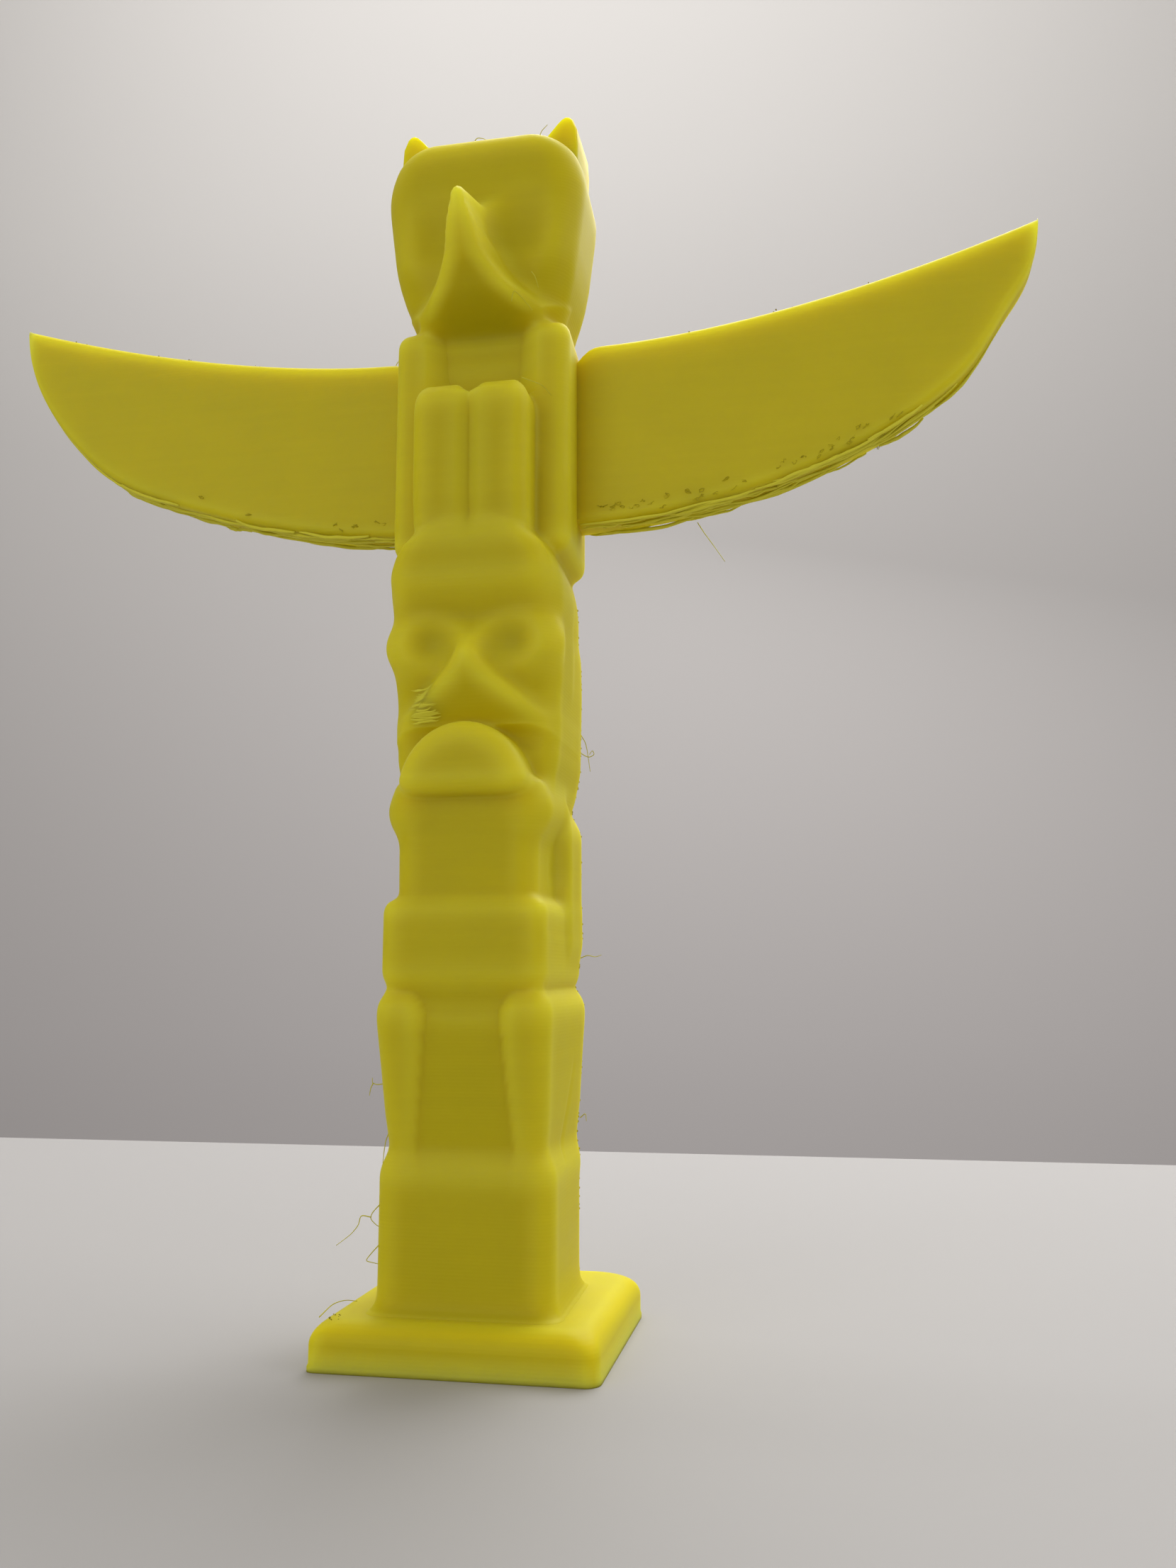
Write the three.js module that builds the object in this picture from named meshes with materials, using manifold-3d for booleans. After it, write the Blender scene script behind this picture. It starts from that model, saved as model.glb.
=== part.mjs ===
// Totem pole figurine, printed upright in one piece: a square foot slab, a plain block, legs with two
// knees under a belt band, a torso under a round visor, an animal face with a pointed snout, and a
// bird with folded feet, a hooked beak, two ears and two flat wings.
// Millimetres, +Z up. The front faces -Y and the origin is at the middle of the slab's underside.

import * as THREE from 'three';
import { mergeVertices } from 'three/addons/utils/BufferGeometryUtils.js';
import Module from 'manifold-3d';

const wasm = await Module();
wasm.setup();

// Driving dimensions

const backY = 3.7; // the flat back that every figure shares
const axisY = -1.2; // the line inside the pole from which its skin is measured
const skin = {
  heights: 60, angles: 52, crownRings: 7, start: 1.3, crownFrom: 70, reach: 10,
  fineStep: 0.25, fineAngles: 96, evenHeights: 0.6, evenAngles: 1.0,
};

const slab = { half: 8.12, corner: 0.9, edge: 1.25, height: 2.6, edgeSteps: 5, cornerSteps: 4 };
const block = { half: 5.2, backHalf: 4.9, front: -5.8, top: 11.3, corner: 1.1, shoulder: 1.6 };
const legs = {
  low: 9, top: 20.45, corner: 1.0, shoulder: 1.5,
  halves: [[11, 4.55], [13.5, 4.82], [16.2, 4.98], [18.6, 5.14]],
  backWider: 0.14,
  fronts: [[11, -5.6], [18.6, -6.9]],
  channelHalf: 2.45, channelTaper: 0.05, channelFrom: 12, channelFloor: [[11, -5.72], [18.6, -6.5]],
  dip: { centre: [0, -7.9, 20.9], radii: [2.9, 1.95, 1.9] },
  groove: { from: [4.85, -1.9, 10.4], to: [5.45, 0.4, 15.8], radius: 0.42 },
};
const band = { half: 4.84, front: -6.8, low: 20.6, top: 25.6, corner: 0.8, round: 1.0 };
const torso = {
  low: 22, bellyFront: -6.45, bellyTop: 32.6, bellyCorner: 1.2, bellyHalves: [[25.4, 4.15], [29, 4.2], [32, 4.4]],
  backHalf: 5.05, backFront: -0.9, backTop: 31.1, backCorner: 0.9,
  pocket: { centre: [5.3, -2.1, 27.5], radii: [1.7, 1.75, 2.0] },
  arm: { from: [3.7, -5.0, 30.7], to: [3.7, -1.2, 31.0], radius: 1.15 },
};
const visor = { half: 3.9, rise: 4.3, low: 31.5, frontY: -7.85, backY: 2, round: 0.6 };
const bear = {
  low: 31.6, front: -4.5, top: 48.5, corner: 1.0,
  hindHalves: [[32, 4.6], [34, 5], [39, 5.1], [41.4, 5.05], [42.1, 4.93], [43.6, 4.78], [45, 4.5], [46.5, 4.2]],
  hindTop: 47.4,
  cheekHalves: [[36.5, 4.1], [37.5, 4.4], [38.8, 4.85], [40, 5.0], [43, 5.2]],
  cheekFronts: [[36, -4.3], [38.5, -5.1], [43.5, -5.4]],
  cheekLow: 35.6, cheekTop: 46, cheekBack: 0.5, cheekCorner: 1.4,
  browHalves: [[43.5, 5.15], [45.3, 5.1], [46.3, 4.8], [47.1, 4.3], [47.8, 3.5], [48.4, 2.4]],
  browTaper: [[-6.8, -0.12], [backY, -0.62]],
  browFront: -6.8, browLow: 43.2, browCorner: 1.3,
  lid: { centre: [3.15, -4.8, 40.85], radii: [2.3, 1.3, 1.75] },
  socket: { centre: [2.55, -6.6, 40.75], radii: [1.3, 1.35, 1.25] },
};
const snout = {
  backY: 1, kneeY: -4.6,
  halves: [[35.7, 4.1], [37.2, 3.3], [37.7, 2.7], [38.4, 1.9], [39.1, 1.25], [40.5, 0.6], [41.5, 0.45]],
  fronts: [[35.7, -4.2], [36.5, -5.2], [37.3, -5.95], [38.4, -6.75], [39.3, -7.1], [40.5, -7.3], [41.5, -5.2]],
};
const bird = {
  low: 46.8, top: 61.8, front: -4.15, frontHalf: 5.66, backHalf: 5.25, corner: 0.9,
  chestHalf: 3.0, chestY: -2.9, chestLow: 53,
};
const feet = {
  x: 1.8, half: 1.8, backY: -2.8, corner: 0.95, low: 46.6, top: 57.1,
  fronts: [[47.6, -6.45], [50, -6.8], [57, -6.9]], valley: 0.38, valleyLower: 0.9,
};
const head = {
  low: 58, top: 74.9, corner: 2.2, crown: 1.6,
  halves: [[61.5, 4.25], [62.9, 4.62], [64, 5.08], [65.2, 5.42], [66.7, 5.7], [68.7, 5.95],
    [70.3, 6.15], [71.3, 6.2], [72.2, 6.05], [73.2, 5.7], [74.1, 5.05], [75.2, 4.0]],
  taper: [[-5, 0.4], [backY, 0.08]],
  fronts: [[61.5, -3.2], [63.5, -4.2], [66, -4.85]],
  eye: { centre: [2.9, -5.9, 67.6], radii: [1.8, 1.35, 2.3] },
};
const beak = {
  low: 61.2, backY: -2, kneeY: -4.5,
  halves: [[61.2, 3.3], [62.0, 3.2], [62.6, 2.5], [63.3, 1.8], [64.3, 1.2], [66, 0.95], [67.6, 0.42], [69.2, 0.4]],
  spreads: [[62.2, 0.9], [62.6, 0.8], [63.8, 0.45], [65, 0.22], [66.4, 0.06]],
  widest: [[61.2, 3.6], [62.0, 3.95], [63, 4.5], [64.5, 5.1]],
  fronts: [[61.2, -2.5], [62.0, -5.0], [62.7, -6.8], [64.2, -8.5], [65.8, -9.4], [67.6, -9.9], [69.2, -4.8]],
};
// How softly forms melt into one another: within one figure, and between neighbours
const melt = { crisp: 0.45, slight: 0.6, soft: 0.85, full: 1.1, round: 1.5, broad: 2.1 };
const necks = [
  { half: 4.42, front: -6.3, corner: 1.0, low: 18, high: 23, blend: 0.2 },
  { half: 4.15, front: -4.5, corner: 0.9, low: 28, high: 34, blend: 0.2 },
  { half: 4.3, front: -2.8, corner: 1.0, low: 45, high: 66, blend: 0.3 },
];
const wing = {
  rootX: 6, innerX: 4, tipX: 34.3, frontY: -0.63, backY: 1.9, topZ: 61.6, topRise: 5.3, topBend: 1.7,
  lowZ: 49.5, lowRise: 17, straightShare: 0.07, notch: [[0, -1.3], [1.6, -1.3], [2.3, -0.55]],
  lowSteps: 22, topSteps: 10,
};
const ear = {
  frontY: -2.65, backY: 1.4,
  outline: [[2.6, 73], [3, 74.2], [3.9, 75.3], [4.85, 76.4], [5.15, 76.55], [5.5, 76.4], [5.9, 75.6], [5.9, 72.5]],
};

const smallestDetail = 0.01;
const colour = { r: 0.88, g: 0.78, b: 0.12 };

// Distances: each is negative inside its solid and positive outside

function smoothMin(a, b, blend) {
  const h = Math.max(blend - Math.abs(a - b), 0) / blend;
  return Math.min(a, b) - (h * h * blend) / 4;
}

function smoothMax(a, b, blend) {
  return -smoothMin(-a, -b, blend);
}

// A value that runs straight from one [position, value] stop to the next
function along(position, stops) {
  if (position <= stops[0][0]) return stops[0][1];
  for (let i = 1; i < stops.length; i++) {
    const [before, from] = stops[i - 1];
    const [after, to] = stops[i];
    if (position <= after) return from + ((to - from) * (position - before)) / (after - before);
  }
  return stops[stops.length - 1][1];
}

// An upright post with rounded corners in plan, centred on x = 0
function post(x, y, half, front, back, corner) {
  const qx = Math.abs(x) - (half - corner);
  const qy = Math.abs(y - (front + back) / 2) - ((back - front) / 2 - corner);
  return Math.hypot(Math.max(qx, 0), Math.max(qy, 0)) + Math.min(Math.max(qx, qy), 0) - corner;
}

function slice(z, low, high) {
  return Math.abs(z - (low + high) / 2) - (high - low) / 2;
}

function ball(x, y, z, centre, radii) {
  const dx = (x - centre[0]) / radii[0];
  const dy = (y - centre[1]) / radii[1];
  const dz = (z - centre[2]) / radii[2];
  return (Math.hypot(dx, dy, dz) - 1) * Math.min(...radii);
}

function rod(x, y, z, from, to, radius) {
  const d = [to[0] - from[0], to[1] - from[1], to[2] - from[2]];
  const p = [x - from[0], y - from[1], z - from[2]];
  const t = (p[0] * d[0] + p[1] * d[1] + p[2] * d[2]) / (d[0] * d[0] + d[1] * d[1] + d[2] * d[2]);
  const s = Math.min(Math.max(t, 0), 1);
  return Math.hypot(p[0] - s * d[0], p[1] - s * d[1], p[2] - s * d[2]) - radius;
}

// An ellipse in the XZ plane, centred on x = 0
function arch(x, z, half, rise, low) {
  return (Math.hypot(x / half, (z - low) / rise) - 1) * Math.min(half, rise);
}

// The figures, from the foot up

function blockField(x, y, z) {
  const half = along(y, [[block.front, block.half], [backY, block.backHalf]]);
  const plan = post(x, y, half, block.front, backY, block.corner);
  return smoothMax(plan, slice(z, -1, block.top), block.shoulder);
}

// Two knees with a channel between them, and a groove down each side
function legsField(x, y, z) {
  const half = along(z, legs.halves) + along(y, [[legs.fronts[0][1], 0], [backY, legs.backWider]]);
  const plan = post(x, y, half, along(z, legs.fronts), backY, legs.corner);
  let d = smoothMax(plan, slice(z, legs.low, legs.top), legs.shoulder);
  const channelHalf = legs.channelHalf - legs.channelTaper * (z - legs.channelFrom);
  d = smoothMax(d, -Math.max(Math.abs(x) - channelHalf, y - along(z, legs.channelFloor)), melt.full);
  d = smoothMax(d, -ball(x, y, z, legs.dip.centre, legs.dip.radii), melt.soft);
  return smoothMax(d, -rod(Math.abs(x), y, z, legs.groove.from, legs.groove.to, legs.groove.radius), melt.crisp);
}

function bandField(x, y, z) {
  const plan = post(x, y, band.half, band.front, backY, band.corner);
  return smoothMax(plan, slice(z, band.low, band.top), band.round);
}

// A belly in front of a wider back, with an arm and a pocket at each side
function torsoField(x, y, z) {
  const ax = Math.abs(x);
  const bellyPlan = post(x, y, along(z, torso.bellyHalves), torso.bellyFront, backY, torso.bellyCorner);
  const belly = smoothMax(bellyPlan, slice(z, torso.low, torso.bellyTop), melt.soft);
  const backPlan = post(x, y, torso.backHalf, torso.backFront, backY, torso.backCorner);
  const back = smoothMax(backPlan, slice(z, torso.low, torso.backTop), melt.round);
  const pocket = ball(ax, y, z, torso.pocket.centre, torso.pocket.radii);
  const arm = rod(ax, y, z, torso.arm.from, torso.arm.to, torso.arm.radius);
  return smoothMin(smoothMax(smoothMin(belly, back, melt.soft), -pocket, melt.slight), arm, melt.full);
}

// Cheeks under a rounded brow, with hollow eyes in raised lids at the corners
function bearField(x, y, z) {
  const ax = Math.abs(x);
  const hindPlan = post(x, y, along(z, bear.hindHalves), bear.front, backY, bear.corner);
  const hind = smoothMax(hindPlan, slice(z, bear.low, bear.hindTop), melt.full);
  const cheekPlan = post(x, y, along(z, bear.cheekHalves), along(z, bear.cheekFronts), bear.cheekBack,
    bear.cheekCorner);
  const cheek = smoothMax(cheekPlan, slice(z, bear.cheekLow, bear.cheekTop), melt.broad);
  const browHalf = along(z, bear.browHalves) + along(y, bear.browTaper);
  const browPlan = post(x, y, browHalf, bear.browFront, backY, bear.browCorner);
  const brow = smoothMax(browPlan, slice(z, bear.browLow, bear.top), melt.broad);
  let d = smoothMin(smoothMin(hind, cheek, melt.soft), brow, melt.full);
  d = smoothMin(d, ball(ax, y, z, bear.lid.centre, bear.lid.radii), melt.soft);
  return smoothMax(d, -ball(ax, y, z, bear.socket.centre, bear.socket.radii), melt.slight);
}

// A body hollowed at the chest, with two folded feet side by side in front
function birdField(x, y, z) {
  const ax = Math.abs(x);
  const half = along(y, [[bird.front, bird.frontHalf], [backY, bird.backHalf]]);
  const body = smoothMax(post(x, y, half, bird.front, backY, bird.corner), slice(z, bird.low, bird.top), melt.full);
  const chest = Math.max(ax - bird.chestHalf, y - bird.chestY, bird.chestLow - z);
  const hollowed = smoothMax(body, -chest, melt.soft);
  const front = along(z, feet.fronts);
  const footPlan = post(ax - feet.x, y, feet.half, front, feet.backY, feet.corner);
  const foot = smoothMax(footPlan, slice(z, feet.low, feet.top), melt.broad);
  const web = Math.max(ax - feet.x, front + feet.valley - y, y - feet.backY,
    slice(z, feet.low, feet.top - feet.valleyLower));
  return smoothMin(hollowed, smoothMin(foot, web, melt.crisp), melt.crisp);
}

function headField(x, y, z) {
  const half = along(z, head.halves) + along(y, head.taper);
  const plan = post(x, y, half, along(z, head.fronts), backY, head.corner);
  const skull = smoothMax(plan, slice(z, head.low, head.top), head.crown);
  return smoothMax(skull, -ball(Math.abs(x), y, z, head.eye.centre, head.eye.radii), melt.soft);
}

// The whole pole, with slim necks that bridge the notches between the figures
function poleField(x, y, z) {
  const [waist, collar, nape] = necks.map((neck) => smoothMax(
    post(x, y, neck.half, neck.front, backY, neck.corner), slice(z, neck.low, neck.high), neck.blend));
  let d = smoothMin(blockField(x, y, z), legsField(x, y, z), melt.slight);
  d = smoothMin(Math.min(d, waist), bandField(x, y, z), melt.slight);
  d = smoothMin(d, torsoField(x, y, z), melt.crisp);
  d = smoothMin(Math.min(d, collar), bearField(x, y, z), melt.crisp);
  d = smoothMin(d, birdField(x, y, z), melt.slight);
  return smoothMin(Math.min(d, nape), headField(x, y, z), melt.slight);
}

// The pole's skin, where rays from its inner line come out

const coarseStep = 0.2;
const halvings = 12;

function skinPoint(z, angle, lift) {
  const dx = Math.cos(angle) * Math.cos(lift);
  const dy = Math.sin(angle) * Math.cos(lift);
  const dz = Math.sin(lift);
  const field = (t) => poleField(dx * t, axisY + dy * t, z + dz * t);
  let inside = skin.reach;
  while (inside > 0 && field(inside) >= 0) inside -= coarseStep;
  let outside = inside + coarseStep;
  for (let i = 0; i < halvings; i++) {
    const middle = (inside + outside) / 2;
    if (field(middle) < 0) inside = middle;
    else outside = middle;
  }
  return new THREE.Vector3(dx * inside, axisY + dy * inside, z + dz * inside);
}

// Places count positions so that they crowd where the samples bend most
function crowd(samples, start, step, count, evenShare) {
  const bend = samples.map((row, i) => {
    const before = samples[Math.max(i - 1, 0)];
    const after = samples[Math.min(i + 1, samples.length - 1)];
    const total = row.reduce((sum, value, j) => sum + Math.abs(before[j] - 2 * value + after[j]), 0);
    return Math.sqrt(total / row.length);
  });
  const mean = bend.reduce((a, b) => a + b) / bend.length;
  const sums = [0];
  for (const value of bend) sums.push(sums[sums.length - 1] + value + evenShare * mean);
  const positions = [];
  for (let n = 0, i = 1; n < count; n++) {
    const wanted = (sums[sums.length - 1] * n) / (count - 1);
    while (i < sums.length - 1 && sums[i] < wanted) i++;
    positions.push(start + step * (i - 1 + (wanted - sums[i - 1]) / (sums[i] - sums[i - 1])));
  }
  return positions;
}

// A closed mesh from rings with the same number of points, from the lowest to the highest
function closedLoft(rings, bottom, top) {
  const around = rings[0].length;
  const points = [...rings.flat(), bottom, top];
  const faces = [];
  for (let i = 0; i < rings.length - 1; i++) {
    for (let j = 0; j < around; j++) {
      const next = (j + 1) % around;
      const a = i * around + j;
      const b = i * around + next;
      faces.push(a, b, b + around, a, b + around, a + around);
    }
  }
  const last = (rings.length - 1) * around;
  for (let j = 0; j < around; j++) {
    const next = (j + 1) % around;
    faces.push(next, j, points.length - 2);
    faces.push(last + j, last + next, points.length - 1);
  }
  const geometry = new THREE.BufferGeometry().setFromPoints(points);
  geometry.setIndex(faces);
  return geometry;
}

function poleGeometry() {
  const turn = (2 * Math.PI) / skin.fineAngles;
  const levels = Array.from({ length: Math.round((skin.crownFrom - skin.start) / skin.fineStep) + 1 },
    (_, i) => skin.start + i * skin.fineStep);
  const fine = levels.map((z) => Array.from({ length: skin.fineAngles }, (_, j) => {
    const p = skinPoint(z, j * turn, 0);
    return Math.hypot(p.x, p.y - axisY);
  }));
  const byAngle = fine[0].map((_, j) => fine.map((row) => row[j]));
  const heights = crowd(fine, skin.start, skin.fineStep, skin.heights, skin.evenHeights);
  const angles = crowd([...byAngle, byAngle[0]], 0, turn, skin.angles + 1, skin.evenAngles).slice(0, skin.angles);
  const scale = (2 * Math.PI) / ((skin.fineAngles + 1) * turn);
  const ring = (z, lift) => angles.map((angle) => skinPoint(z, angle * scale, lift));
  const rings = heights.map((z) => ring(Math.min(z, skin.crownFrom), 0));
  for (let k = 1; k <= skin.crownRings; k++) {
    rings.push(ring(skin.crownFrom, (k / (skin.crownRings + 1)) * (Math.PI / 2)));
  }
  const bottom = new THREE.Vector3(0, axisY, skin.start);
  return closedLoft(rings, bottom, skinPoint(skin.crownFrom, 0, Math.PI / 2));
}

// The slab has a sharp lower edge, rounded upright corners and a rounded upper edge
function slabGeometry() {
  const ring = (inset, z) => {
    const half = slab.half - inset;
    const points = [];
    for (let quarter = 0; quarter < 4; quarter++) {
      for (let k = 0; k <= slab.cornerSteps; k++) {
        const angle = (quarter + k / slab.cornerSteps) * (Math.PI / 2);
        const middle = (quarter + 0.5) * (Math.PI / 2);
        const centreX = Math.sign(Math.cos(middle)) * (half - slab.corner);
        const centreY = Math.sign(Math.sin(middle)) * (half - slab.corner);
        points.push(new THREE.Vector3(
          centreX + slab.corner * Math.cos(angle), centreY + slab.corner * Math.sin(angle), z));
      }
    }
    return points;
  };
  const rings = [ring(0, 0)];
  for (let k = 0; k <= slab.edgeSteps; k++) {
    const angle = (k / slab.edgeSteps) * (Math.PI / 2);
    rings.push(ring(slab.edge * (1 - Math.cos(angle)), slab.height - slab.edge * (1 - Math.sin(angle))));
  }
  return closedLoft(rings, new THREE.Vector3(0, 0, 0), new THREE.Vector3(0, 0, slab.height));
}

// A hooked wedge of level slices: a narrow front edge that runs back and out to a knee
function wedgeGeometry(fronts, halfAt, kneeY, rearY) {
  const rings = fronts.map(([z, front]) => {
    const knee = Math.max(front + 0.05, kneeY);
    const tipHalf = halfAt(z, 0);
    const rearHalf = halfAt(z, knee - front);
    return [[-tipHalf, front], [tipHalf, front], [rearHalf, knee], [rearHalf, rearY], [-rearHalf, rearY],
      [-rearHalf, knee]].map(([x, y]) => new THREE.Vector3(x, y, z));
  });
  const middle = ([z, front]) => new THREE.Vector3(0, (front + rearY) / 2, z);
  return closedLoft(rings, middle(fronts[0]), middle(fronts[fronts.length - 1]));
}

// The beak is a thin ridge that spreads downwards and backwards, its underside running to the throat
function beakGeometry() {
  const halfAt = (z, depth) => {
    const spread = along(z, beak.halves) + along(z, beak.spreads) * depth;
    return Math.min(spread, along(z, beak.widest));
  };
  return wedgeGeometry(beak.fronts, halfAt, beak.kneeY, beak.backY);
}

// The snout is a ridge that widens downwards, its underside running back to the mouth
function snoutGeometry() {
  return wedgeGeometry(snout.fronts, (z) => along(z, snout.halves), snout.kneeY, snout.backY);
}

// The visor is half an ellipse with a flat underside and a rounded front rim
function visorGeometry() {
  const steps = 20;
  const rim = Array.from({ length: steps + 1 }, (_, i) => {
    const angle = (Math.PI * i) / steps;
    return new THREE.Vector2(visor.half * Math.cos(angle), visor.low + visor.rise * Math.sin(angle));
  });
  const geometry = new THREE.ExtrudeGeometry(new THREE.Shape(rim), {
    depth: visor.backY - visor.frontY - 2 * visor.round,
    bevelThickness: visor.round,
    bevelSize: visor.round,
    bevelOffset: -visor.round,
    bevelSegments: 3,
  });
  geometry.rotateX(Math.PI / 2);
  geometry.translate(0, visor.backY - visor.round, 0);
  return geometry;
}

// An outline in the XZ plane, given thickness from its front to its back
function plateGeometry(outline, side, frontY, backFaceY) {
  const shape = new THREE.Shape(outline.map(([x, z]) => new THREE.Vector2(side * x, z)));
  const geometry = new THREE.ExtrudeGeometry(shape, { depth: backFaceY - frontY, bevelEnabled: false });
  geometry.rotateX(Math.PI / 2);
  geometry.translate(0, backFaceY, 0);
  return geometry;
}

// The lower edge sweeps up to a sharp tip like a quarter of an ellipse, the upper edge rises gently
function wingOutline() {
  const spanX = wing.tipX - wing.rootX;
  const outline = [];
  for (let i = 0; i <= wing.lowSteps; i++) {
    const s = Math.cos((i / wing.lowSteps) * (Math.PI / 2));
    const rise = wing.straightShare * s + (1 - wing.straightShare) * (1 - Math.sqrt(1 - s * s));
    outline.push([wing.rootX + spanX * s, wing.lowZ + wing.lowRise * rise]);
  }
  outline.push([wing.innerX, wing.lowZ]);
  for (const [x, z] of wing.notch) outline.push([wing.innerX + x, wing.topZ + z]);
  for (let i = 0; i < wing.topSteps; i++) {
    const s = i / wing.topSteps;
    outline.push([wing.rootX + 1 + (spanX - 1) * s, wing.topZ + wing.topRise * s ** wing.topBend]);
  }
  return outline;
}

// Joining

function solidOf(geometry) {
  const bare = geometry.clone();
  bare.deleteAttribute('normal');
  bare.deleteAttribute('uv');
  const merged = mergeVertices(bare);
  const vertProperties = new Float32Array(merged.attributes.position.array);
  const triVerts = new Uint32Array(merged.index.array);
  return new wasm.Manifold(new wasm.Mesh({ numProp: 3, vertProperties, triVerts }));
}

// Corners closer together than the smallest real detail become one, and faces left flat by that go
function geometryOf(solid) {
  const mesh = solid.getMesh();
  const joined = new THREE.BufferGeometry();
  joined.setAttribute('position', new THREE.BufferAttribute(mesh.vertProperties, 3));
  joined.setIndex(new THREE.BufferAttribute(mesh.triVerts, 1));
  const geometry = mergeVertices(joined, smallestDetail);
  const old = geometry.index.array;
  const faces = [];
  for (let i = 0; i < old.length; i += 3) {
    const [a, b, c] = [old[i], old[i + 1], old[i + 2]];
    if (a !== b && b !== c && c !== a) faces.push(a, b, c);
  }
  geometry.setIndex(faces);
  geometry.computeVertexNormals();
  return geometry;
}

function totemPole() {
  let solid = solidOf(poleGeometry());
  for (const piece of [slabGeometry(), visorGeometry(), snoutGeometry(), beakGeometry()]) {
    solid = solid.add(solidOf(piece));
  }
  for (const side of [1, -1]) {
    solid = solid.add(solidOf(plateGeometry(wingOutline(), side, wing.frontY, wing.backY)));
    solid = solid.add(solidOf(plateGeometry(ear.outline, side, ear.frontY, ear.backY)));
  }
  const plastic = new THREE.MeshStandardMaterial({
    color: new THREE.Color(colour.r, colour.g, colour.b),
    roughness: 0.45,
    metalness: 0,
    flatShading: true,
  });
  const mesh = new THREE.Mesh(geometryOf(solid), plastic);
  mesh.name = 'totem_pole';
  return mesh;
}

const model = new THREE.Group();
model.add(totemPole());

export default model;
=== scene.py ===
# A small totem pole printed in one piece from see-through yellow plastic: a foot slab, stacked
# figures, and a bird with a hooked beak, ears and flat wings, with the strands and hairs that
# the printer left on it. Lengths are in millimetres until a mesh is made.
import math
import bpy
import numpy as np
from mathutils import Matrix, Vector


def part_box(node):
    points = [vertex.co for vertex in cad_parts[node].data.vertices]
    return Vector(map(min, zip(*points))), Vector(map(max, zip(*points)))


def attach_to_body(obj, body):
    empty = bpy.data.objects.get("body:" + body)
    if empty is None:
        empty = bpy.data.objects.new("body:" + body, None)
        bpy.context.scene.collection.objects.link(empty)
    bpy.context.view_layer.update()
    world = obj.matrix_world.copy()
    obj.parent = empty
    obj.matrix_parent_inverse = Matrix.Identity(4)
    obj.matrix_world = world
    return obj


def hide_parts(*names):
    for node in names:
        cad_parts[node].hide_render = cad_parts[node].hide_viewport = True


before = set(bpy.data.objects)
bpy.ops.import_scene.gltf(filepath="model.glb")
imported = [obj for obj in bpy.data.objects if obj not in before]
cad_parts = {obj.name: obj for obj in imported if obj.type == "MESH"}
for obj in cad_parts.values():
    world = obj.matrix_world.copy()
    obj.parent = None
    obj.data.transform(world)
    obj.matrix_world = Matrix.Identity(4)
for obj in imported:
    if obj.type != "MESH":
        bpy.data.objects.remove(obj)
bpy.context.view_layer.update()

poleName = "totem_pole"
cadLow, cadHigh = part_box(poleName)
modelHeight = 76.55
millimetre = (cadHigh.z - cadLow.z) / modelHeight  # metres in one millimetre of the model
wingTip = cadHigh.x / millimetre
slabHalf = cadHigh.y / millimetre
beakTip = cadLow.y / millimetre
flatBack = 3.7  # y of the back that every figure shares
innerLine = -1.2  # y of the upright line that the skin is measured from


# Distances: negative inside a solid, positive outside

def smoothMin(a, b, blend):  # the smaller of the two, with a fillet where they meet
    h = np.maximum(blend - np.abs(a - b), 0) / blend
    return np.minimum(a, b) - h * h * blend / 4


def smoothMax(a, b, blend):
    return -smoothMin(-a, -b, blend)


def along(position, *stops, soft=0.3):
    # runs straight from stop to stop, averaged over a short stretch so that the stops leave no crease
    table = np.array(stops, float)
    return sum(np.interp(position + soft * k, table[:, 0], table[:, 1]) for k in (-1, -0.33, 0.33, 1)) / 4


def post(x, y, half, front, back, corner):  # an upright bar, rounded in plan
    qx = np.abs(x) - (half - corner)
    qy = np.abs(y - (front + back) / 2) - ((back - front) / 2 - corner)
    return np.hypot(np.maximum(qx, 0), np.maximum(qy, 0)) + np.minimum(np.maximum(qx, qy), 0) - corner


def between(z, low, high):  # everything between two levels
    return np.abs(z - (low + high) / 2) - (high - low) / 2


def ball(x, y, z, centre, radii):
    parts = [(p - c) / r for p, c, r in zip((x, y, z), centre, radii)]
    return (np.sqrt(sum(p * p for p in parts)) - 1) * min(radii)


def rod(x, y, z, start, end, radius):  # a round bar between two points
    a = np.array(start, float)
    d = np.array(end, float) - a
    t = np.clip(((x - a[0]) * d[0] + (y - a[1]) * d[1] + (z - a[2]) * d[2]) / d.dot(d), 0, 1)
    return np.sqrt((x - a[0] - t * d[0])**2 + (y - a[1] - t * d[1])**2 + (z - a[2] - t * d[2])**2) - radius


def arch(x, z, half, rise, low):  # an ellipse standing in the XZ plane
    return (np.hypot(x / half, (z - low) / rise) - 1) * min(half, rise)


def highest(*parts):
    return np.maximum.reduce(np.broadcast_arrays(*parts))


# The figures from the foot up, each a distance worked out from a few sizes. A list of stops gives a
# size at each height, or at each depth where its name says so.

slabLook = {"height": 2.6, "corners": (1.6, 1.1, 0.55, 0.9), "edge": 1.25, "foot": 0.05}
blockLook = {
    "half": 5.2, "backHalf": 4.9, "front": -5.8, "top": 11.3, "corner": 1.1, "shoulder": 1.6,
    "fillet": 0.5, "filletHeight": 0.3,
}


def block(x, y, z):  # a plain rounded bar under a soft shoulder, spreading where it meets the slab
    b = blockLook
    spread = b["fillet"] * np.exp(-np.maximum(z - slabLook["height"], 0) / b["filletHeight"])
    half = along(y, (b["front"], b["half"]), (flatBack, b["backHalf"])) + spread
    bar = post(x, y, half, b["front"] - spread, flatBack + spread, b["corner"])
    return smoothMax(bar, between(z, -1, b["top"]), b["shoulder"])


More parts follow.
